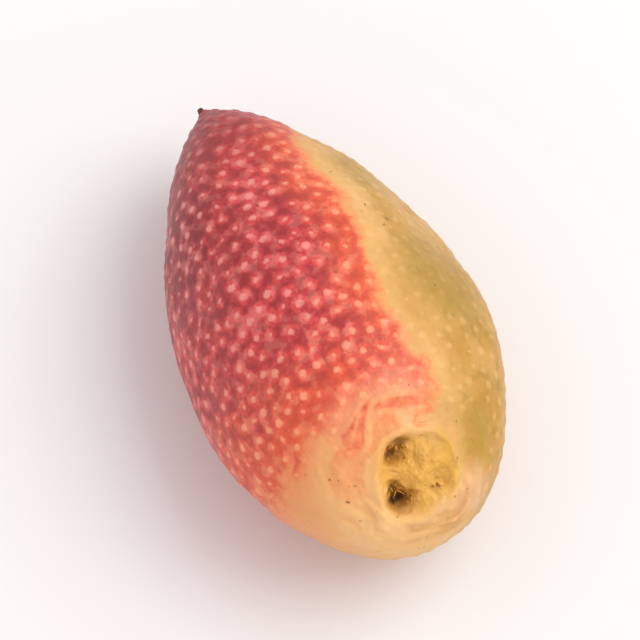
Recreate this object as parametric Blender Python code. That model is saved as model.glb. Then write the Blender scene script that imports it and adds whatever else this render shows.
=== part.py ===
"""A pistachio in its hull, as picked, lying on one cheek.

The fruit grew as one piece, so it is one solid. +X runs towards the stalk end and -X towards the
tip, +Y is the side of the yellow flank, and +Z is up. The origin is on the surface that the fruit
lies on, under the middle of its bounding box.
"""

import math

import bpy
import mathutils
from mathutils import Matrix, Vector

MM = 0.001

# Driving dimensions of the body, without its beak
LENGTH = 28.3 * MM
WIDTH = 16.0 * MM
THICKNESS = 14.6 * MM
TIP_TAPER = 0.22
FOOT_DEPTH = 0.2 * MM

# Rows and columns of the skin's mesh, which run from the stalk scar to the tip
COLUMNS = 60
ROWS = 64
ROW_CROWDING = 1.4

# Where the stalk was: how far the scar leans up from the end of the fruit, and towards which side
SCAR_LEAN = math.radians(31)
SCAR_SIDE = math.radians(86)
LEAN_REACH = math.radians(125)

# The scar's section, measured along the skin from its centre
SKIN_PER_RADIAN = 8.8 * MM
SCAR_RADIUS = 1.8 * MM
SCAR_DEPTH = 0.6 * MM
SCAR_WALL = 0.45 * MM
DISH_RADIUS = 3.6 * MM
DISH_DEPTH = 0.4 * MM
LIP_HEIGHT = 0.18 * MM
LIP_WIDTH = 0.5 * MM
COLLAR_RADIUS = 4.4 * MM
COLLAR_HEIGHT = 0.18 * MM
COLLAR_WIDTH = 0.9 * MM
RIM_WOBBLES = ((2, 0.6, 0.10), (3, 2.1, 0.05), (5, 0.0, 0.04))
WOBBLE_REACH = math.radians(28)

# What the torn stalk left in the scar: distance from its centre, way round it, spread, height
STUB_AND_CREVICES = (
    (0.8 * MM, math.radians(15), 1.3 * MM, 0.6 * MM),
    (1.75 * MM, math.radians(116), 0.55 * MM, -0.55 * MM),
    (1.65 * MM, math.radians(214), 0.7 * MM, -0.7 * MM),
)

# A shallow hollow that opens from the scar towards the yellow flank
HOLLOW_FROM_STALK = math.radians(23)
HOLLOW_COLUMN = math.radians(0)
HOLLOW_SPREAD = math.radians(13)
HOLLOW_DEPTH = 0.32 * MM

# The beak, which is what is left of the flower's style
BEAK_LENGTH = 0.4 * MM
BEAK_SPREAD = math.radians(8)
BEAK_HOOK = 0.2 * MM
BEAK_SIDE = math.radians(195)

# Keels and shoulders that run from the scar to the tip: place round the fruit from +Y, spread, height
RIDGES = (
    (math.radians(6), math.radians(11), 0.30 * MM),
    (math.radians(186), math.radians(12), 0.22 * MM),
    (math.radians(66), math.radians(17), 0.24 * MM),
    (math.radians(126), math.radians(19), 0.16 * MM),
    (math.radians(-66), math.radians(19), 0.20 * MM),
    (math.radians(-126), math.radians(18), 0.15 * MM),
)
SWELL_SIZE = 7.0 * MM
SWELL_HEIGHT = 0.22 * MM

# How the fruit is rolled to rest
ROLLS = 40
ROLL_SHARE = 0.3


def clear_scene():
    for obj in list(bpy.data.objects):
        bpy.data.objects.remove(obj)


def smooth_step(low, high, value):
    share = min(1.0, max(0.0, (value - low) / (high - low)))
    return share * share * (3 - 2 * share)


def bump(distance, spread):
    return math.exp(-((distance / spread) ** 2))


def angle_between(first, second):
    """The shorter way round from one angle to another."""
    return abs((first - second + math.pi) % math.tau - math.pi)


def egg_profile(along):
    """The half width of an egg at a place from -1, its pointed end, to 1, before it is scaled."""
    return math.sqrt(max(0.0, 1 - along * along)) * max(0.0, 1 + along) ** TIP_TAPER


def lean_to_scar(direction, from_stalk):
    """Turns the rows nearest the stalk towards the scar, and leaves those near the tip upright."""
    share = 1 - smooth_step(0, LEAN_REACH, from_stalk)
    axis = Vector((0, -math.sin(SCAR_SIDE), math.cos(SCAR_SIDE)))
    return Matrix.Rotation(SCAR_LEAN * share, 3, axis) @ direction


def direction_from_middle(from_stalk, column):
    """The way from the fruit's middle to a place on its skin, with the scar's rim pulled in and out."""
    wobble = sum(size * math.sin(waves * column + start) for waves, start, size in RIM_WOBBLES)
    angle = from_stalk * (1 + wobble * bump(from_stalk, WOBBLE_REACH))
    direction = Vector(
        (
            math.cos(angle),
            math.sin(angle) * math.cos(column),
            math.sin(angle) * math.sin(column),
        )
    )
    return lean_to_scar(direction, from_stalk)


def ridge_height(from_stalk, column):
    """How far keels and shoulders stand out. They fade towards both ends."""
    heights = [
        height * bump(angle_between(column, place), spread)
        for place, spread, height in RIDGES
    ]
    return math.sin(from_stalk) ** 1.5 * sum(heights)


def hollow_depth(direction):
    """How deep the hollow beside the scar is in a direction from the middle."""
    place = direction_from_middle(HOLLOW_FROM_STALK, HOLLOW_COLUMN)
    return HOLLOW_DEPTH * bump(direction.angle(place), HOLLOW_SPREAD)


def body_point(direction, ridge):
    """The point of the plain egg in a direction from its middle, raised by a ridge and by soft swells."""
    across = math.hypot(direction.y, direction.z)
    widest_along = TIP_TAPER / (1 + TIP_TAPER)
    outwards = Vector((0, direction.y, direction.z)) / max(across, 1e-9)
    radius = egg_profile(direction.x) / egg_profile(widest_along)
    point = Vector(
        (
            direction.x * LENGTH / 2,
            outwards.y * radius * WIDTH / 2,
            outwards.z * radius * THICKNESS / 2,
        )
    )
    swell = mathutils.noise.noise(point / SWELL_SIZE)
    height = SWELL_HEIGHT * swell - hollow_depth(direction)
    return point + outwards * ridge + direction * height


def beak_offset(from_tip):
    """Draws the tip out into its small hooked beak."""
    hook = Vector((0, math.cos(BEAK_SIDE), math.sin(BEAK_SIDE)))
    return bump(from_tip, BEAK_SPREAD) * (Vector((-BEAK_LENGTH, 0, 0)) + hook * BEAK_HOOK)


def scar_section(distance):
    """The scar's section, outwards from its centre: sunk floor, wall, lip, dish and collar."""
    wall = smooth_step(SCAR_RADIUS - SCAR_WALL, SCAR_RADIUS + SCAR_WALL, distance)
    lip = LIP_HEIGHT * bump(distance - SCAR_RADIUS - SCAR_WALL, LIP_WIDTH)
    dish = DISH_DEPTH * bump(distance, DISH_RADIUS)
    collar = COLLAR_HEIGHT * bump(distance - COLLAR_RADIUS, COLLAR_WIDTH)
    return lip + collar - dish - SCAR_DEPTH * (1 - wall)


def scar_height(from_stalk, column):
    """The height of the skin at and round the scar, with the stalk's stub and the crevices beside it."""
    distance = from_stalk * SKIN_PER_RADIAN
    place = Vector((math.cos(column), math.sin(column))) * distance
    height = scar_section(distance)
    for away, way_round, spread, rise in STUB_AND_CREVICES:
        middle = Vector((math.cos(way_round), math.sin(way_round))) * away
        height += rise * bump((place - middle).length, spread)
    return height


def scar_outwards():
    """Square to the skin at the scar's centre."""
    centre = body_point(direction_from_middle(0, 0), 0)
    return Vector(
        (
            centre.x / (LENGTH / 2) ** 2,
            centre.y / (WIDTH / 2) ** 2,
            centre.z / (THICKNESS / 2) ** 2,
        )
    ).normalized()


def build_skin():
    """The skin as a sphere whose poles are the scar and the tip, drawn out to the fruit's own form."""
    bpy.ops.mesh.primitive_uv_sphere_add(segments=COLUMNS, ring_count=ROWS, radius=1)
    hull = bpy.context.active_object
    hull.name = "hull"
    outwards = scar_outwards()
    for vertex in hull.data.vertices:
        row = math.acos(max(-1.0, min(1.0, vertex.co.z))) / math.pi
        column = math.atan2(vertex.co.y, vertex.co.x)
        from_stalk = math.pi * row**ROW_CROWDING
        direction = direction_from_middle(from_stalk, column)
        point = body_point(direction, ridge_height(from_stalk, column))
        point += beak_offset(math.pi - from_stalk)
        vertex.co = point + outwards * scar_height(from_stalk, column)
    return hull


def centroid(mesh):
    """The middle of the solid's volume, from the tetrahedra between its faces and the origin.

    A primitive's faces come in a new order each run, so they are sorted to keep the sum's rounding the same.
    """
    volume = 0.0
    moment = Vector((0, 0, 0))
    for corners in sorted(tuple(face.vertices) for face in mesh.polygons):
        first, *others = (mesh.vertices[index].co for index in corners)
        for second, third in zip(others, others[1:]):
            part = first.cross(second).dot(third) / 6
            volume += part
            moment += part * (first + second + third) / 4
    return moment / volume


def settle(mesh):
    """Rolls the fruit until what touches a table lies under its weight, then flattens that spot."""
    for _ in range(ROLLS):
        mesh.transform(Matrix.Translation(-centroid(mesh)))
        floor = min(vertex.co.z for vertex in mesh.vertices)
        foot = [v.co for v in mesh.vertices if v.co.z < floor + FOOT_DEPTH]
        offset = sum(foot, Vector()) / len(foot)
        turn = Vector((offset.y, -offset.x, 0)) / -floor
        mesh.transform(Matrix.Rotation(ROLL_SHARE * turn.length, 4, turn))
    floor = min(vertex.co.z for vertex in mesh.vertices)
    mesh.transform(Matrix.Translation((0, 0, -floor - FOOT_DEPTH)))
    for vertex in mesh.vertices:
        vertex.co.z = max(0.0, vertex.co.z)


def centre_on_origin(mesh):
    for axis in (0, 1):
        places = [vertex.co[axis] for vertex in mesh.vertices]
        shift = Vector((0, 0, 0))
        shift[axis] = -(min(places) + max(places)) / 2
        mesh.transform(Matrix.Translation(shift))


def hull_material():
    material = bpy.data.materials.new("hull_skin")
    material.use_nodes = True
    shader = material.node_tree.nodes["Principled BSDF"]
    shader.inputs["Base Color"].default_value = (0.60, 0.13, 0.11, 1)
    shader.inputs["Roughness"].default_value = 0.5
    shader.inputs["Metallic"].default_value = 0
    material.diffuse_color = (0.60, 0.13, 0.11, 1)
    return material


def main():
    clear_scene()
    collection = bpy.data.collections.new("pistachio_in_hull")
    bpy.context.scene.collection.children.link(collection)
    hull = build_skin()
    settle(hull.data)
    centre_on_origin(hull.data)
    hull.data.materials.append(hull_material())
    hull.data.shade_smooth()
    for holder in list(hull.users_collection):
        holder.objects.unlink(hull)
    collection.objects.link(hull)


main()
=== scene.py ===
import math
import random

import bpy
from mathutils import Color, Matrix, Vector, kdtree, noise


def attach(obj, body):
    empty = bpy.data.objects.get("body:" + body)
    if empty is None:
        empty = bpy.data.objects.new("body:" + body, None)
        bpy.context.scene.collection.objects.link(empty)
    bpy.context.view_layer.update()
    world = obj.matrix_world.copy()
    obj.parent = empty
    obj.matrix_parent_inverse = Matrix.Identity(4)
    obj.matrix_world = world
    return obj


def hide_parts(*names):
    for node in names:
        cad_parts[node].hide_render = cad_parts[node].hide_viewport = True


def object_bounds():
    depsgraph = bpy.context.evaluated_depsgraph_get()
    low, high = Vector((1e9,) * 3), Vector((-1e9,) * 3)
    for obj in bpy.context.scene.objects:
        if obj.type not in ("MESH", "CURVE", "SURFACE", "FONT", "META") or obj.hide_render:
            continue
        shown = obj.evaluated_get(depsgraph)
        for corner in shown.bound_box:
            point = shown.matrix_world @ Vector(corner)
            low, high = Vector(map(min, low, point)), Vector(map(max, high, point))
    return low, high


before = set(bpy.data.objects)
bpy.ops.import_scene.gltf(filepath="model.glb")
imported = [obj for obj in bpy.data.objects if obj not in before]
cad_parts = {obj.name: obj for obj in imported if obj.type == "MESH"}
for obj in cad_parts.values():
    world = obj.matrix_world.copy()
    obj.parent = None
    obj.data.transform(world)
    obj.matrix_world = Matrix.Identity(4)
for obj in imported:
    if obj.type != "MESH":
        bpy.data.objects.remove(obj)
cad_low, cad_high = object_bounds()

# The skin
# The fleshy hull that grew round the nut's shell: one closed skin from the stalk scar to the beak,
# crimson where the sun reached it and yellow where it hung in shade, with pale breathing pores.

MM = 0.001
SCAR_PLACE = Vector((11.63, 0.0, 11.55)) * MM
SCAR_OUTWARDS = Vector((0.58, 0.03, 0.81)).normalized()
SCAR_UP = Vector((-0.81, 0.0, 0.58))
SCAR_ACROSS = SCAR_UP.cross(SCAR_OUTWARDS).normalized()
TIP_PLACE = Vector((-14.34, -0.21, 5.86)) * MM
BODY_MIDDLE = Vector((1.4, 0.0, 7.0)) * MM

# Breathing pores. A pore's top and foot are in radii from its middle.
PORE_SEED = 7
PORE_SPACING = 0.80 * MM
PORE_RADIUS = 0.20 * MM
PORE_HEIGHT = 0.05 * MM
PORE_TOP = 0.5
PORE_FOOT = 1.4
PORE_FREE_SCAR = 2.9 * MM

# Wrinkles, which are drawn out along the fruit, and soft dents
WRINKLE_SIZE = 1.1 * MM
WRINKLE_DEPTH = 0.05 * MM
LENGTHWISE_SQUEEZE = 0.14
DENT_SIZE = 4.5 * MM
DENT_DEPTH = 0.16 * MM
DENT_FULL = 0.5

# Folds that ring the scar: they start, are full, begin to fade and end this far from its centre
FOLDS_FROM = 2.3 * MM
FOLDS_FULL = FOLDS_FROM + 0.6 * MM
FOLDS_FADE = 3.5 * MM
FOLDS_TO = 6.5 * MM
FOLD_DEPTH = 0.16 * MM
FOLD_WIDTH = 0.42 * MM
FOLD_SWERVE = 2.4
FOLD_BREAKS = 2

# Torn flesh in the scar: how far it reaches, how sharply it ends, and the size and height of its lumps
TORN_RADIUS = 2.1 * MM
TORN_EDGE = 6
TORN_LUMPS = ((0.9 * MM, 0.26 * MM), (0.4 * MM, 0.14 * MM), (0.16 * MM, 0.06 * MM))
CREVICE_RAGGED = 0.5
RAGGED_SIZE = 0.4 * MM

# The CAD mesh is merged where its vertices are this close, and then rounded off
MERGE_DISTANCE = 0.001 * MM
SKIN_ROUNDING = 2


def on_scar(across, up):
    """A place on the scar, in millimetres from its centre."""
    return SCAR_PLACE + (SCAR_ACROSS * across + SCAR_UP * up) * MM


# Crevices where the stalk's strands tore out of the scar: place, how wide, how deep, how dark with
# brown and painted shade
CREVICES = (
    (on_scar(-0.75, 1.40), 0.33 * MM, 0.35 * MM, 0.55),
    (on_scar(-0.20, 1.85), 0.26 * MM, 0.22 * MM, 0.35),
    (on_scar(-1.15, -1.10), 0.46 * MM, 0.50 * MM, 0.9),
    (on_scar(-1.30, -0.45), 0.28 * MM, 0.25 * MM, 0.6),
)


def smooth_step(low, high, value):
    """0 up to low and 1 past high, with a soft step between. Low may be the larger."""
    share = min(1.0, max(0.0, (value - low) / (high - low)))
    return share * share * (3 - 2 * share)


def squeezed(place):
    """Shortens a place along the fruit, so that noise read there is drawn out along it."""
    return Vector((place.x * LENGTHWISE_SQUEEZE, place.y, place.z))


def scatter_pores(places):
    """Picks pores in a seeded random order, none nearer to another than PORE_SPACING."""
    order = [place for place in places if (place - SCAR_PLACE).length > PORE_FREE_SCAR]
    order.sort(key=lambda place: tuple(round(value / MM, 4) for value in place))
    random.Random(PORE_SEED).shuffle(order)
    steps = (-1, 0, 1)
    neighbours = [(x, y, z) for x in steps for y in steps for z in steps]
    taken = {}
    pores = []
    for place in order:
        cell = [math.floor(value / PORE_SPACING) for value in place]
        near = [taken.get((cell[0] + x, cell[1] + y, cell[2] + z), ()) for x, y, z in neighbours]
        if all((place - pore).length > PORE_SPACING for group in near for pore in group):
            taken.setdefault(tuple(cell), []).append(place)
            pores.append(place)
    return pores


def pore_distances(places):
    """How far the nearest pore is from each place, and a number from 0 to 1 that is that pore's own."""
    pores = scatter_pores(places)
    tree = kdtree.KDTree(len(pores))
    for index, pore in enumerate(pores):
        tree.insert(pore, index)
    tree.balance()
    draw = random.Random(PORE_SEED)
    kinds = [draw.random() for _ in pores]
    found = [tree.find(place) for place in places]
    return [distance for _, _, distance in found], [kinds[index] for _, index, _ in found]


def folded(place):
    """Fine folds where the skin drew in round the stalk: 0 on a crest, 1 in a furrow."""
    offset = place - SCAR_PLACE
    away = offset.length
    fading = smooth_step(FOLDS_FROM, FOLDS_FULL, away) * smooth_step(FOLDS_TO, FOLDS_FADE, away)
    around = Vector((offset.dot(SCAR_ACROSS), offset.dot(SCAR_UP), 0)).normalized() * FOLD_BREAKS
    swerve = FOLD_SWERVE * noise.noise(place / FOLDS_FROM)
    ring = noise.noise(Vector((away / FOLD_WIDTH + swerve, around.x, around.y)))
    return fading * (0.5 + 0.5 * ring)


def relief_depth(place, from_pore):
    """How far the skin lies below its outline: between the pores, in wrinkles, folds and soft dents."""
    depth = PORE_HEIGHT * smooth_step(PORE_TOP * PORE_RADIUS, PORE_FOOT * PORE_RADIUS, from_pore)
    depth += WRINKLE_DEPTH * (0.5 + 0.5 * noise.noise(squeezed(place) / WRINKLE_SIZE))
    dent = smooth_step(0.0, DENT_FULL, noise.noise(place / DENT_SIZE))
    return depth + DENT_DEPTH * dent + FOLD_DEPTH * folded(place)


def from_crevice(place, crevice):
    """How far a place is from the middle line of a crevice, whose wall is ragged."""
    ragged = 1 + CREVICE_RAGGED * noise.noise(place / RAGGED_SIZE)
    return (place - crevice).cross(SCAR_OUTWARDS).length * ragged


def torn_height(place):
    """The rough height of the scar's torn flesh, and of the crevices in it."""
    away = (place - SCAR_PLACE).length
    torn = math.exp(-((away / TORN_RADIUS) ** TORN_EDGE))
    height = sum(rise * noise.noise(place / size) for size, rise in TORN_LUMPS) * torn
    for crevice, reach, depth, _darkness in CREVICES:
        if away < 2 * TORN_RADIUS:
            height -= depth * math.exp(-((from_crevice(place, crevice) / reach) ** 2))
    return height


def keep_attribute(mesh, name, values):
    """Keeps a number for each vertex, which a material can read."""
    mesh.attributes.new(name, "FLOAT", "POINT").data.foreach_set("value", values)


def press_relief(skin):
    """Presses the relief into the skin, and keeps its pores and furrows for its colours."""
    mesh = skin.data
    places = [vertex.co.copy() for vertex in mesh.vertices]
    normals = [vertex.normal.copy() for vertex in mesh.vertices]
    distances, kinds = pore_distances(places)
    for vertex, place, normal, distance in zip(mesh.vertices, places, normals, distances):
        pressed = place - normal * relief_depth(place, distance)
        vertex.co = pressed + SCAR_OUTWARDS * torn_height(place)
    keep_attribute(mesh, "from_pore", [distance / MM for distance in distances])
    keep_attribute(mesh, "pore_kind", kinds)
    keep_attribute(mesh, "furrow", [folded(place) for place in places])
    mesh.update()


def round_off(piece, levels):
    """Rounds off the facets of the active piece."""
    rounding = piece.modifiers.new("rounding", "SUBSURF")
    rounding.levels = rounding.render_levels = levels
    bpy.ops.object.modifier_apply(modifier=rounding.name)


def model_skin():
    """A finer skin over the fruit's own form: its facets rounded off, then pressed into relief."""
    bpy.ops.object.select_all(action="DESELECT")
    skin = bpy.data.objects.new("hull_skin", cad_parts["hull"].data.copy())
    bpy.context.scene.collection.objects.link(skin)
    bpy.context.view_layer.objects.active = skin
    skin.select_set(True)
    bpy.ops.object.mode_set(mode="EDIT")
    bpy.ops.mesh.select_all(action="SELECT")
    bpy.ops.mesh.remove_doubles(threshold=MERGE_DISTANCE)
    bpy.ops.mesh.tris_convert_to_quads(face_threshold=math.pi, shape_threshold=math.pi)
    bpy.ops.object.mode_set(mode="OBJECT")
    round_off(skin, SKIN_ROUNDING)
    press_relief(skin)
    bpy.ops.object.shade_smooth()
    return skin


def paint(red, green, blue):
    """A named colour from its everyday 0 to 255 values, as a shader takes it."""
    linear = Color((red / 255, green / 255, blue / 255)).from_srgb_to_scene_linear()
    return (*linear, 1.0)


# Colours of the blushed flank
DEEP_CRIMSON = paint(158, 42, 54)
CRIMSON = paint(218, 72, 72)
MAROON = paint(112, 20, 32)
ORANGE_RED = paint(236, 94, 62)
ORANGE = paint(242, 148, 92)
SALMON = paint(255, 164, 130)
PORE_IN_CRIMSON = paint(246, 156, 146)
PORE_IN_ORANGE = paint(255, 170, 126)
# Partly the beak's own darker colour, partly painted shade towards the tip
MAUVE_AND_SHADE = paint(146, 28, 30)

# Colours of the yellow flank and round the scar
STRAW = paint(205, 155, 76)
GOLD = paint(194, 141, 53)
OLIVE = paint(160, 128, 38)
PEACH = paint(246, 190, 122)
CREAM = paint(252, 204, 140)
# A painted highlight on the scar's rim
LEMON_HIGHLIGHT = paint(255, 206, 118)
# A painted highlight on the lower rim of the stalk end
PALE_ROSE_HIGHLIGHT = paint(238, 186, 144)
# Painted shade in the furrows of the folds round the scar
FURROW_SHADE = paint(206, 140, 70)
SPECK = paint(112, 56, 22)

# Colours of the scar
FRESH_CORK = paint(230, 172, 66)
CORK = paint(168, 112, 28)
# Dark brown of the crevices, which also serves as painted shade in their hollows
CREVICE_BROWN_AND_SHADE = paint(60, 30, 5)


def set_inputs(tree, node, inputs):
    """Gives a node's inputs a value each, or a socket to read."""
    for key, value in inputs.items():
        if isinstance(value, bpy.types.NodeSocket):
            tree.links.new(value, node.inputs[key])
        else:
            node.inputs[key].default_value = value


def add_node(tree, kind, inputs, **settings):
    """Adds a node with its options and its inputs."""
    node = tree.nodes.new(kind)
    for name, value in settings.items():
        setattr(node, name, value)
    set_inputs(tree, node, inputs)
    return node


def calculate(tree, operation, first, second=0.0):
    return add_node(tree, "ShaderNodeMath", {0: first, 1: second}, operation=operation).outputs[0]


def both(tree, first, second):
    """1 where two masks are both 1, and less where either of them is less."""
    return calculate(tree, "MULTIPLY", first, second)


def vector(tree, operation, first, second):
    return add_node(tree, "ShaderNodeVectorMath", {0: first, 1: second}, operation=operation).outputs[0]


def measure(tree, operation, first, second=(0.0, 0.0, 0.0)):
    """A single number from one vector or two, such as a length."""
    inputs = {0: first, 1: second}
    return add_node(tree, "ShaderNodeVectorMath", inputs, operation=operation).outputs["Value"]


def directions(tree, place):
    """How far a place is along the fruit, across it and upwards."""
    return add_node(tree, "ShaderNodeSeparateXYZ", {0: place}).outputs


def distance_mm(tree, place, point):
    """Distance in millimetres from a point that is given in metres."""
    return measure(tree, "DISTANCE", place, tuple(point / MM))


def from_line_mm(tree, place, point):
    """Distance in millimetres from the line that goes straight into the scar at a point."""
    offset = vector(tree, "SUBTRACT", place, tuple(point / MM))
    return measure(tree, "LENGTH", vector(tree, "CROSS_PRODUCT", offset, tuple(SCAR_OUTWARDS)))


def read_attribute(tree, name):
    return add_node(tree, "ShaderNodeAttribute", {}, attribute_name=name).outputs["Fac"]


def fade(tree, value, start, end):
    """0 before start and 1 past end, with a soft step between. Start may be the larger."""
    inputs = {"Value": value, "From Min": start, "From Max": end}
    return add_node(tree, "ShaderNodeMapRange", inputs, interpolation_type="SMOOTHSTEP").outputs[0]


def cloud(tree, place, size, detail, roughness=0.5):
    """Soft noise from 0 to 1 whose patches are about size millimetres across."""
    inputs = {"Vector": place, "Scale": 1 / size, "Detail": detail, "Roughness": roughness}
    return add_node(tree, "ShaderNodeTexNoise", inputs).outputs[0]


def patches(tree, place, size, detail, start, end, roughness=0.5):
    """1 in soft patches, where the noise is past end, and 0 between them, where it is before start."""
    return fade(tree, cloud(tree, place, size, detail, roughness), start, end)


def sway(tree, place, size, reach):
    """Soft noise that makes a border wander by half of reach either way. Both sizes are millimetres."""
    centred = calculate(tree, "SUBTRACT", cloud(tree, place, size, detail=3.0), 0.5)
    return calculate(tree, "MULTIPLY", centred, reach)


def blend(tree, share, first, second):
    inputs = {0: share, 6: first, 7: second}
    return add_node(tree, "ShaderNodeMix", inputs, data_type="RGBA").outputs[2]


def overlay(tree, under, over, mask, share):
    """Lays one colour over another where a mask says, at most to a share."""
    return blend(tree, calculate(tree, "MULTIPLY", mask, share), under, over)


# Pale stain on a pore: its border in radii, how unevenly the border runs, and how much smaller some are
STAIN_BORDER = (1.7, 0.7)
STAIN_SWAY = (0.25, 0.3)
STAIN_SMALLER = 0.14


def pore_away(tree, place):
    """Millimetres from the nearest breathing pore, more from a small one, and a little uneven."""
    away = calculate(tree, "ADD", read_attribute(tree, "from_pore"), sway(tree, place, *STAIN_SWAY))
    smaller = calculate(tree, "MULTIPLY", read_attribute(tree, "pore_kind"), STAIN_SMALLER)
    return calculate(tree, "ADD", away, smaller)


def pore_mask(tree, place):
    """1 on the breathing pores, which are pale raised dots of uneven size."""
    start, end = (radii * PORE_RADIUS / MM for radii in STAIN_BORDER)
    return fade(tree, pore_away(tree, place), start, end)


# The blush ends at a plane a little past the fruit's crest, and short of its stalk end. It wraps the
# tip. Sizes are in millimetres.
CRIMSON_TURN = math.radians(158)
CRIMSON_SIDE = Vector((-0.04, math.cos(CRIMSON_TURN), math.sin(CRIMSON_TURN)))
BLUSH_WAVE = 0.7
BLUSH_WAVE_LENGTH = 14.0
BLUSH_WAVE_START = 0.6
BLUSH_END = 8.7
END_SOFTNESS = 0.45
CORNER_ROUNDING = 1.6
BLUSH_SWAYS = ((1.8, 1.6), (0.45, 0.7))
TIP_BLUSH = 5.0
TIP_BLUSH_REACH = (11.5, 0.5)


def blush_depth(tree, place):
    """Millimetres from the edge of the blush to a place in it, and less than 0 on the yellow skin."""
    along = directions(tree, place)[0]
    from_start = calculate(tree, "ADD", along, BLUSH_WAVE_START)
    angle = calculate(tree, "MULTIPLY", from_start, math.tau / BLUSH_WAVE_LENGTH)
    wave = calculate(tree, "MULTIPLY", calculate(tree, "SINE", angle), BLUSH_WAVE)
    from_middle = vector(tree, "SUBTRACT", place, tuple(BODY_MIDDLE / MM))
    sunward = measure(tree, "DOT_PRODUCT", from_middle, tuple(CRIMSON_SIDE))
    sunward = calculate(tree, "SUBTRACT", sunward, wave)
    short_of_end = calculate(tree, "SUBTRACT", BLUSH_END, along)
    short_of_end = calculate(tree, "MULTIPLY", short_of_end, END_SOFTNESS)
    inputs = {0: sunward, 1: short_of_end, 2: CORNER_ROUNDING}
    depth = add_node(tree, "ShaderNodeMath", inputs, operation="SMOOTH_MIN").outputs[0]
    for size, reach in BLUSH_SWAYS:
        depth = calculate(tree, "ADD", depth, sway(tree, place, size, reach))
    near_tip = fade(tree, distance_mm(tree, place, TIP_PLACE), *TIP_BLUSH_REACH)
    return calculate(tree, "ADD", depth, calculate(tree, "MULTIPLY", near_tip, TIP_BLUSH))


# The pale keel that runs from the scar towards the tip: its place and its soft borders, in millimetres
KEEL_ACROSS = 4.0
KEEL_SWAY = (1.5, 1.4)
KEEL_SIDES = (1.3, 0.1)
KEEL_FOOT = (8.0, 10.0)
KEEL_END = (9.5, 7.0)


def keel_mask(tree, place):
    """1 along the pale keel, just outside the blush."""
    along, across, upwards = directions(tree, place)
    across = calculate(tree, "ADD", across, sway(tree, place, *KEEL_SWAY))
    off_keel = calculate(tree, "ABSOLUTE", calculate(tree, "SUBTRACT", across, KEEL_ACROSS))
    crest = both(tree, fade(tree, off_keel, *KEEL_SIDES), fade(tree, upwards, *KEEL_FOOT))
    return both(tree, crest, fade(tree, along, *KEEL_END))


# Patches: how big in millimetres, how detailed, the noise where they start and are full, how rough
GOLD_PATCHES = (2.2, 3.0, 0.35, 0.65)
OLIVE_PATCHES = (2.6, 4.0, 0.5, 0.7, 0.65)
OLIVE_MOTTLE = (0.55, 3.0, 0.52, 0.68)

# How deep in a fold, from 0 on its crest to 1 in its furrow, the painted shade in the furrows starts
# and is darkest
FURROW_SHADE_DEPTH = (0.35, 0.75)

# Tints that lie over the yellow flank: place, how far they reach in millimetres, colour, share. A tint
# is full out to the core of its reach.
TINT_SWAY = (1.2, 1.6)
TINT_CORE = 0.3
TINTS = (
    (Vector((2.0, 6.4, 11.5)) * MM, 4.2, OLIVE, 0.55),
    (Vector((-6.0, 5.2, 10.4)) * MM, 3.0, OLIVE, 0.35),
    (Vector((13.1, -3.1, 9.1)) * MM, 7.0, PEACH, 0.75),
    (Vector((12.2, -2.4, 10.5)) * MM, 3.8, CREAM, 0.85),
    (Vector((11.2, 3.0, 11.2)) * MM, 2.6, FRESH_CORK, 0.85),
    # A painted highlight on the scar's lower rim, towards the yellow flank
    (Vector((12.6, 2.0, 10.5)) * MM, 1.2, LEMON_HIGHLIGHT, 0.7),
    # Olive skin, darkened further as painted shade in the hollow beside the scar towards the yellow
    # flank
    (Vector((11.0, 3.6, 11.1)) * MM, 2.4, OLIVE, 0.65),
    (Vector((9.8, 2.4, 12.5)) * MM, 1.8, OLIVE, 0.4),
    # A painted highlight on the lower rim of the stalk end
    (Vector((13.4, 2.6, 9.6)) * MM, 2.2, PALE_ROSE_HIGHLIGHT, 0.6),
    (Vector((8.6, 0.4, 13.7)) * MM, 2.0, PEACH, 0.7),
)


def shaded_flank(tree, place, pores):
    """The yellow skin: straw and gold, clouded with olive, with faint flecks and a few local tints,
    some of them painted highlights and shade, and painted shade in the furrows of the folds.
    """
    furrow_shade = fade(tree, read_attribute(tree, "furrow"), *FURROW_SHADE_DEPTH)
    colour = blend(tree, patches(tree, place, *GOLD_PATCHES), STRAW, GOLD)
    colour = overlay(tree, colour, OLIVE, patches(tree, place, *OLIVE_PATCHES), share=0.5)
    colour = overlay(tree, colour, OLIVE, patches(tree, place, *OLIVE_MOTTLE), share=0.45)
    colour = overlay(tree, colour, PEACH, keel_mask(tree, place), share=0.3)
    colour = overlay(tree, colour, PEACH, pores, share=0.35)
    for point, reach, tint, share in TINTS:
        away = calculate(tree, "ADD", distance_mm(tree, place, point), sway(tree, place, *TINT_SWAY))
        colour = overlay(tree, colour, tint, fade(tree, away, reach, TINT_CORE * reach), share)
    # Painted shade laid in the furrows of the folds
    return overlay(tree, colour, FURROW_SHADE, furrow_shade, share=0.5)


# Zones of the blush: where each starts and is full, in millimetres inwards from the blush's edge. The
# edges of the crimson ones wander.
PEACH_ZONE = (-1.9, -0.5)
ORANGE_ZONE = (-0.55, 0.1)
RED_ZONE = (-0.2, 0.5)
CRIMSON_ZONE = (0.6, 3.2)
DEEP_CRIMSON_ZONE = (3.8, 7.6)
PALE_PORE_ZONE = (0.5, 4.0)
DARK_NET_ZONE = (-2.0, 4.0)
RIPE_SWAY = (2.6, 2.6)

# Grain in the blush: how big in millimetres and how detailed, and the noise where it is dark and pale
GRAIN_CLOUD = (0.65, 3.0)
DARK_GRAIN = (0.52, 0.38)
PALE_GRAIN = (0.5, 0.62)

# The dark net between the pores starts and is full this far from a pore, in millimetres
PORE_GAP = (0.40, 0.62)


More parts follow.
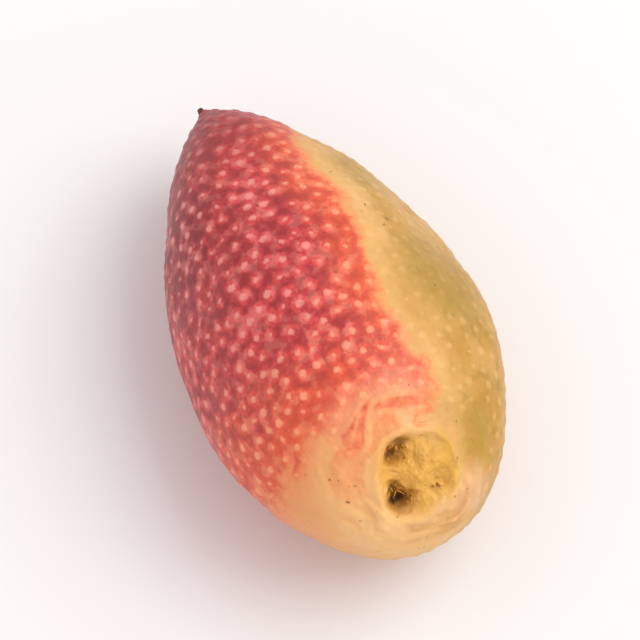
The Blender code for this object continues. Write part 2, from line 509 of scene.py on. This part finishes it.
def sunny_flank(tree, place, pores, depth):
    """The blushed skin: orange-red at its edge, then crimson and deep crimson, darker between pores."""
    ripeness = calculate(tree, "ADD", depth, sway(tree, place, *RIPE_SWAY))
    grain = cloud(tree, place, *GRAIN_CLOUD)
    netted = fade(tree, ripeness, *DARK_NET_ZONE)
    dark_grain = both(tree, fade(tree, grain, *DARK_GRAIN), netted)
    gaps = both(tree, fade(tree, pore_away(tree, place), *PORE_GAP), netted)
    pale = blend(tree, fade(tree, depth, *PALE_PORE_ZONE), PORE_IN_ORANGE, PORE_IN_CRIMSON)
    colour = blend(tree, fade(tree, ripeness, *CRIMSON_ZONE), ORANGE_RED, CRIMSON)
    colour = blend(tree, fade(tree, ripeness, *DEEP_CRIMSON_ZONE), colour, DEEP_CRIMSON)
    colour = overlay(tree, colour, MAROON, dark_grain, share=0.4)
    colour = overlay(tree, colour, pale, fade(tree, grain, *PALE_GRAIN), share=0.3)
    colour = overlay(tree, colour, MAROON, gaps, share=0.44)
    return overlay(tree, colour, pale, pores, share=0.75)


# The wash of orange where the blush runs out towards the stalk: its borders, in millimetres
WASH_SWAY = (0.7, 1.6)
WASH_ZONE = (-2.6, 0.0)
WASH_ALONG = (4.0, 8.0)
WASH_ACROSS = (1.5, -0.5)


def stalk_wash(tree, place, depth):
    """1 where the blush runs out slowly, on its side towards the stalk."""
    along, across, _upwards = directions(tree, place)
    uneven = calculate(tree, "ADD", depth, sway(tree, place, *WASH_SWAY))
    beside_stalk = both(tree, fade(tree, along, *WASH_ALONG), fade(tree, across, *WASH_ACROSS))
    return both(tree, fade(tree, uneven, *WASH_ZONE), beside_stalk)


# Painted highlights on the crests of the scar's folds: their borders in millimetres, and how deep in a
# fold they start and are full
SALMON_ZONE = (-0.5, 1.5)
CRESTS_RING = (FOLDS_TO / MM, FOLDS_TO / MM - 2.0)
CRESTS_ACROSS = (2.8, 0.8)
CREST_HIGHLIGHT_DEPTH = (0.5, 0.3)


def fold_crest_highlights(tree, place, depth, colour):
    """Painted highlights on the crests of the folds: salmon in the blush, peach outside it, none on the
    yellow flank.
    """
    _along, across, _upwards = directions(tree, place)
    pale = blend(tree, fade(tree, depth, *SALMON_ZONE), PEACH, SALMON)
    ringed = fade(tree, distance_mm(tree, place, SCAR_PLACE), *CRESTS_RING)
    ringed = both(tree, ringed, fade(tree, across, *CRESTS_ACROSS))
    crest_highlights = both(tree, ringed, fade(tree, read_attribute(tree, "furrow"), *CREST_HIGHLIGHT_DEPTH))
    return overlay(tree, colour, pale, crest_highlights, share=0.6)


# How far the scar's colours reach from its centre, in millimetres, and where its cork is browned
TORN_SWAY = (1.3, 3.0)
CORK_REACH = (2.9, 1.6)
BROWNED_REACH = (2.7, 1.8)
BROWNED_PATCHES = (0.9, 4.0, 0.45, 0.7)
CREVICES_REACH = (4.0, 3.4)
CREVICE_SWAY = (0.5, 0.7)

# How far a crevice's colours reach from its middle line, in widths of the crevice
CREVICE_RIM = (2.2, 1.0)
# A crevice's core takes dark brown and painted shade
CREVICE_SHADED_CORE = (1.2, 0.5)


def crevice_masks(tree, place, crevice, reach):
    """1 on a crevice's browned rim and all within it, and 1 in its core alone, which takes brown and
    painted shade.
    """
    away = from_line_mm(tree, place, crevice)
    away = calculate(tree, "ADD", away, sway(tree, place, *CREVICE_SWAY))
    return [
        fade(tree, away, start * reach / MM, end * reach / MM)
        for start, end in (CREVICE_RIM, CREVICE_SHADED_CORE)
    ]


def scar_colours(tree, place, colour):
    """The scar: fresh golden cork, browned in places, and dark brown with painted shade in the crevices
    where the strands tore out.
    """
    torn = calculate(tree, "ADD", distance_mm(tree, place, SCAR_PLACE), sway(tree, place, *TORN_SWAY))
    browned = both(tree, fade(tree, torn, *BROWNED_REACH), patches(tree, place, *BROWNED_PATCHES))
    in_scar = fade(tree, torn, *CREVICES_REACH)
    colour = overlay(tree, colour, FRESH_CORK, fade(tree, torn, *CORK_REACH), share=0.8)
    colour = overlay(tree, colour, CORK, browned, share=0.4)
    for crevice, reach, _depth, crevice_shade_share in CREVICES:
        rim, shaded_core = crevice_masks(tree, place, crevice, reach)
        colour = overlay(tree, colour, CORK, both(tree, rim, in_scar), share=0.75)
        # Dark brown with painted shade in each crevice's core, as dark as its table entry gives
        colour = overlay(tree, colour, CREVICE_BROWN_AND_SHADE, both(tree, shaded_core, in_scar), crevice_shade_share)
    return colour


# Mauve towards the tip, partly the beak's own darker skin and partly painted shade on that end, and
# small dark flecks, which come in groups
MAUVE_AND_SHADE_REACH = (10.5, 0.5)
FLECKS = (0.42, 2.0, 0.68, 0.74)
FLECK_GROUPS = (3.4, 2.0, 0.52, 0.62)


def skin_colour(tree, place):
    """The yellow skin, the blush over it, and what lies over both."""
    pores = pore_mask(tree, place)
    depth = blush_depth(tree, place)
    near_tip = fade(tree, distance_mm(tree, place, TIP_PLACE), *MAUVE_AND_SHADE_REACH)
    flecks = both(tree, patches(tree, place, *FLECKS), patches(tree, place, *FLECK_GROUPS))
    colour = shaded_flank(tree, place, pores)
    colour = overlay(tree, colour, PEACH, fade(tree, depth, *PEACH_ZONE), share=0.5)
    colour = overlay(tree, colour, ORANGE, stalk_wash(tree, place, depth), share=0.75)
    colour = blend(tree, fade(tree, depth, *ORANGE_ZONE), colour, ORANGE)
    sunny = sunny_flank(tree, place, pores, depth)
    colour = blend(tree, fade(tree, depth, *RED_ZONE), colour, sunny)
    # Painted highlights on the crests of the folds round the scar
    colour = fold_crest_highlights(tree, place, depth, colour)
    # Darker mauve towards the tip: the beak's own colour, and partly painted shade
    colour = overlay(tree, colour, MAUVE_AND_SHADE, near_tip, share=0.8)
    colour = overlay(tree, colour, SPECK, flecks, share=0.75)
    return scar_colours(tree, place, colour)


# The skin's wax, and its grain, which is too fine for the mesh
WAX_CLOUD = (1.5, 4.0)
WAX_RANGE = 0.35
LEAST_ROUGHNESS = 0.25
LEATHER_CLOUD = (0.16, 4.0)
LEATHER_SHARE = 0.6
LINES_CLOUD = (0.35, 2.0)


def skin_roughness(tree, place):
    """Glossy where the skin's wax is whole, and duller where it isn't."""
    dull = calculate(tree, "MULTIPLY", cloud(tree, place, *WAX_CLOUD), WAX_RANGE)
    return calculate(tree, "ADD", dull, LEAST_ROUGHNESS)


def squeezed_mm(tree, place):
    """The same as squeezed, in a shader."""
    return vector(tree, "MULTIPLY", place, (LENGTHWISE_SQUEEZE, 1.0, 1.0))


def skin_grain(tree, place):
    """The height of leathery grain, with faint lines along the fruit."""
    leather = calculate(tree, "MULTIPLY", cloud(tree, place, *LEATHER_CLOUD), LEATHER_SHARE)
    return calculate(tree, "ADD", leather, cloud(tree, squeezed_mm(tree, place), *LINES_CLOUD))


def press_normal(tree, height, strength, depth):
    """The normal of a surface that a height presses in, depth metres at most."""
    inputs = {"Strength": strength, "Distance": depth, "Height": height}
    return add_node(tree, "ShaderNodeBump", inputs).outputs[0]


def start_material(name):
    """A new material, its tree, its shader, and the place on the piece in millimetres."""
    material = bpy.data.materials.new(name)
    material.use_nodes = True
    tree = material.node_tree
    position = add_node(tree, "ShaderNodeTexCoord", {}).outputs["Object"]
    place = vector(tree, "MULTIPLY", position, (1 / MM, 1 / MM, 1 / MM))
    return material, tree, tree.nodes["Principled BSDF"], place


def skin_material():
    material, tree, shader, place = start_material("hull_skin")
    looks = {
        "Base Color": skin_colour(tree, place),
        "Roughness": skin_roughness(tree, place),
        "Normal": press_normal(tree, skin_grain(tree, place), strength=0.8, depth=0.06 * MM),
        "Specular IOR Level": 0.35,
        "Subsurface Weight": 0.08,
        "Subsurface Radius": (1.0, 0.4, 0.2),
        "Subsurface Scale": 0.5 * MM,
        "Coat Weight": 0.08,
        "Coat Roughness": 0.28,
    }
    set_inputs(tree, shader, looks)
    return material


skin = model_skin()
skin.data.materials.clear()
skin.data.materials.append(skin_material())
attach(skin, "root")
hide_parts("hull")

# The torn strands
# Ends of the stalk's woody strands, which tore off when the nut was picked. They stand in the scar's
# flesh round its crevices. Each is drawn out of a disc to a point that leans over.

STRAND_SEED = 3
STRAND_SIDES = 7
STRAND_STEPS = 5
STRAND_LENGTHS = (0.4 * MM, 0.8 * MM)
STRAND_WIDTHS = (0.16 * MM, 0.28 * MM)
STRAND_LEAN = 3.2
STRAND_STRAY = 0.8
STRAND_TAPER = 0.66
STRAND_ROOT = 0.12 * MM
STRAND_ROUNDING = 1
STRANDS_ROUND_CREVICE = 6
STRANDS_ON_SCAR = 10
STRANDS_REACH = 0.5 * TORN_RADIUS
STRANDS_SPREAD = (0.9, 1.3)
CAST_HEIGHT = 3 * MM
STRAND_PALE = paint(216, 160, 70)
STRAND_BROWN = paint(146, 96, 30)
STRAND_GRAIN = 0.3
STRAND_SHADES = (0.4, 0.65)


def draw_out(name, root, facing, sides, radius, ways, taper):
    """A closed form that is drawn out of a small disc one way after another, and narrows at each."""
    bpy.ops.object.select_all(action="DESELECT")
    bpy.ops.mesh.primitive_circle_add(
        vertices=sides, radius=radius, fill_type="NGON", location=root, rotation=facing
    )
    piece = bpy.context.active_object
    piece.name = name
    bpy.ops.object.transform_apply(location=True, rotation=True, scale=True)
    bpy.ops.object.mode_set(mode="EDIT")
    bpy.ops.mesh.select_all(action="SELECT")
    for way in ways:
        bpy.ops.mesh.extrude_region_move(TRANSFORM_OT_translate={"value": way})
        bpy.ops.transform.resize(value=taper)
    bpy.ops.mesh.select_all(action="SELECT")
    bpy.ops.mesh.normals_make_consistent(inside=False)
    bpy.ops.object.mode_set(mode="OBJECT")
    return piece


def strand_ways(lean, length):
    """The ways that a strand is drawn out, each leaning over more than the last."""
    shares = [step / STRAND_STEPS for step in range(STRAND_STEPS)]
    return [(SCAR_OUTWARDS + lean * share).normalized() * length / STRAND_STEPS for share in shares]


def strand_places(draw):
    """Places round each crevice's edge and over the scar, each with the way that its strand leans."""
    spots = [(crevice, reach, STRANDS_ROUND_CREVICE) for crevice, reach, _depth, _darkness in CREVICES]
    spots.append((SCAR_PLACE, STRANDS_REACH, STRANDS_ON_SCAR))
    places = []
    for middle, reach, count in spots:
        for _ in range(count):
            turn = draw.uniform(0, math.tau)
            way = SCAR_ACROSS * math.cos(turn) + SCAR_UP * math.sin(turn)
            places.append((middle + way * reach * draw.uniform(*STRANDS_SPREAD), way))
    return places


def model_strands():
    """The strands as one piece, each rooted a little below the scar's surface."""
    draw = random.Random(STRAND_SEED)
    facing = SCAR_OUTWARDS.to_track_quat("Z", "Y").to_euler()
    taper = (STRAND_TAPER, STRAND_TAPER, STRAND_TAPER)
    strands = []
    for place, way in strand_places(draw):
        above = place + SCAR_OUTWARDS * CAST_HEIGHT
        found, root, _normal, _face = skin.ray_cast(above, -SCAR_OUTWARDS)
        width = draw.uniform(*STRAND_WIDTHS)
        length = draw.uniform(*STRAND_LENGTHS)
        lean = way * STRAND_LEAN + Vector([draw.uniform(-STRAND_STRAY, STRAND_STRAY) for _ in range(3)])
        if found:
            root = root - SCAR_OUTWARDS * STRAND_ROOT
            ways = strand_ways(lean, length)
            strands.append(draw_out("torn_strands", root, facing, STRAND_SIDES, width / 2, ways, taper))
    bpy.ops.object.select_all(action="DESELECT")
    for strand in strands:
        strand.select_set(True)
    bpy.context.view_layer.objects.active = strands[0]
    bpy.ops.object.join()
    round_off(strands[0], STRAND_ROUNDING)
    bpy.ops.object.origin_set(type="ORIGIN_CURSOR")
    bpy.ops.object.shade_smooth()
    return strands[0]


def dry_fibre_group():
    """Dry plant fibre, for each material that is made of it: its shades from 0 to 1, and its relief."""
    group = bpy.data.node_groups.new("dry_fibre", "ShaderNodeTree")
    group.interface.new_socket("Place", in_out="INPUT", socket_type="NodeSocketVector")
    group.interface.new_socket("Scale", in_out="INPUT", socket_type="NodeSocketFloat")
    group.interface.new_socket("Relief", in_out="INPUT", socket_type="NodeSocketFloat")
    group.interface.new_socket("Shade", in_out="OUTPUT", socket_type="NodeSocketFloat")
    group.interface.new_socket("Normal", in_out="OUTPUT", socket_type="NodeSocketVector")
    given = add_node(group, "NodeGroupInput", {}).outputs
    inputs = {"Vector": given["Place"], "Scale": given["Scale"], "Detail": 3.0, "Roughness": 0.5}
    shade = add_node(group, "ShaderNodeTexNoise", inputs).outputs[0]
    normal = press_normal(group, shade, strength=0.6, depth=given["Relief"])
    add_node(group, "NodeGroupOutput", {"Shade": shade, "Normal": normal})
    return group


def dry_fibre(tree, place, size, relief):
    """Places the group in a material. Size is in millimetres, and relief in metres."""
    inputs = {"Place": place, "Scale": 1 / size, "Relief": relief}
    return add_node(tree, "ShaderNodeGroup", inputs, node_tree=DRY_FIBRE).outputs


DRY_FIBRE = dry_fibre_group()


def strand_material():
    material, tree, shader, place = start_material("torn_fibre")
    shade, normal = dry_fibre(tree, place, STRAND_GRAIN, relief=0.01 * MM)
    colour = blend(tree, fade(tree, shade, *STRAND_SHADES), STRAND_PALE, STRAND_BROWN)
    set_inputs(tree, shader, {"Base Color": colour, "Roughness": 0.75, "Normal": normal})
    return material


strands = model_strands()
strands.data.materials.append(strand_material())
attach(strands, "root")

# The style's remnant
# The withered base of the flower's style, dried to a hard brown point on the fruit's beak. It is drawn
# out of a disc in short narrowing steps that hook upwards, and then withered by noise.

REMNANT_ROOT = TIP_PLACE + Vector((0.55, 0.0, 0.04)) * MM
REMNANT_REACH = 0.50 * MM
REMNANT_RADIUS = 0.30 * MM
REMNANT_SIDES = 14
REMNANT_STEPS = 6
REMNANT_TAPER = 0.86
REMNANT_HOOK = Vector((0.0, -0.15, 0.35))
REMNANT_ROUNDING = 2
WITHERED_DEPTH = 0.05 * MM
WITHERED_SIZE = 0.12 * MM
STYLE_BROWN = paint(128, 62, 46)
STYLE_DARK = paint(76, 30, 26)
STYLE_GRAIN = 0.15
STYLE_SHADES = (0.35, 0.65)


def remnant_ways():
    """The ways that the remnant is drawn out, each hooked more than the last."""
    forward = Vector((-1, 0, 0)) * REMNANT_REACH / REMNANT_STEPS
    hook = REMNANT_HOOK * REMNANT_REACH / REMNANT_STEPS
    return [forward + hook * (step / REMNANT_STEPS) for step in range(REMNANT_STEPS)]


def wither(piece):
    """Shrinks and swells the piece's sides in streaks along the fruit."""
    for vertex in piece.data.vertices:
        offset = vertex.co - REMNANT_ROOT
        outwards = Vector((0, offset.y, offset.z)).normalized()
        vertex.co += outwards * WITHERED_DEPTH * noise.noise(squeezed(vertex.co) / WITHERED_SIZE)


def model_remnant():
    facing = (0, -math.pi / 2, 0)
    taper = (1, REMNANT_TAPER, REMNANT_TAPER)
    remnant = draw_out(
        "style_remnant", REMNANT_ROOT, facing, REMNANT_SIDES, REMNANT_RADIUS, remnant_ways(), taper
    )
    round_off(remnant, REMNANT_ROUNDING)
    wither(remnant)
    bpy.ops.object.shade_smooth()
    return remnant


def style_material():
    material, tree, shader, place = start_material("dried_style")
    shade, normal = dry_fibre(tree, squeezed_mm(tree, place), STYLE_GRAIN, relief=0.015 * MM)
    colour = blend(tree, fade(tree, shade, *STYLE_SHADES), STYLE_DARK, STYLE_BROWN)
    set_inputs(tree, shader, {"Base Color": colour, "Roughness": 0.7, "Normal": normal})
    return material


remnant = model_remnant()
remnant.data.materials.append(style_material())
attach(remnant, "root")

# The floor
# A plain white sheet under the fruit, far larger than the view. It lies a hair below the fruit's flat
# spot, so that the two don't flicker through each other.

FLOOR_SIZE = 3.0
FLOOR_DROP = 0.02 * MM
SHEET_WHITE = paint(243, 240, 240)


def floor_material():
    material = bpy.data.materials.new("white_sheet")
    material.use_nodes = True
    shader = material.node_tree.nodes["Principled BSDF"]
    shader.inputs["Base Color"].default_value = SHEET_WHITE
    shader.inputs["Roughness"].default_value = 0.8
    return material


bpy.ops.mesh.primitive_plane_add(size=FLOOR_SIZE, location=(0, 0, -FLOOR_DROP))
floor = bpy.context.active_object
floor.name = "floor"
floor.data.materials.append(floor_material())

# The light
# A wide soft window of light above and to the right, with a pale room all round.

LIGHT_SIZE = 0.5
LIGHT_PLACE = Vector((0.10, 0.36, 0.58))
LIGHT_POWER = 2.5
ROOM_WHITE = paint(244, 243, 243)
ROOM_BRIGHTNESS = 0.84

bpy.ops.object.light_add(type="AREA", location=LIGHT_PLACE)
window = bpy.context.active_object
window.data.size = LIGHT_SIZE
window.data.energy = LIGHT_POWER
window.rotation_euler = LIGHT_PLACE.to_track_quat("Z", "Y").to_euler()
room = bpy.data.worlds.new("room")
room.use_nodes = True
room.node_tree.nodes["Background"].inputs["Color"].default_value = ROOM_WHITE
room.node_tree.nodes["Background"].inputs["Strength"].default_value = ROOM_BRIGHTNESS
bpy.context.scene.world = room
bpy.context.scene.view_settings.view_transform = "Standard"

# The camera
# It looks down on the fruit from its stalk end, with the tip away to the upper left.

CAMERA_AZIMUTH = math.radians(64)
CAMERA_ELEVATION = math.radians(68)
CAMERA_DISTANCE = 0.6
VIEW_WIDTH = 0.034
SENSOR_WIDTH = 36.0
NEAREST_SEEN = 0.01
FURTHEST_SEEN = 10.0

middle = (cad_low + cad_high) / 2
back = Vector(
    (
        math.sin(CAMERA_AZIMUTH) * math.cos(CAMERA_ELEVATION),
        -math.cos(CAMERA_AZIMUTH) * math.cos(CAMERA_ELEVATION),
        math.sin(CAMERA_ELEVATION),
    )
)
bpy.ops.object.camera_add(location=middle + back * CAMERA_DISTANCE)
camera = bpy.context.active_object
camera.rotation_euler = back.to_track_quat("Z", "Y").to_euler()
camera.data.sensor_width = SENSOR_WIDTH
camera.data.lens = SENSOR_WIDTH * CAMERA_DISTANCE / VIEW_WIDTH
camera.data.clip_start = NEAREST_SEEN
camera.data.clip_end = FURTHEST_SEEN
bpy.context.scene.camera = camera
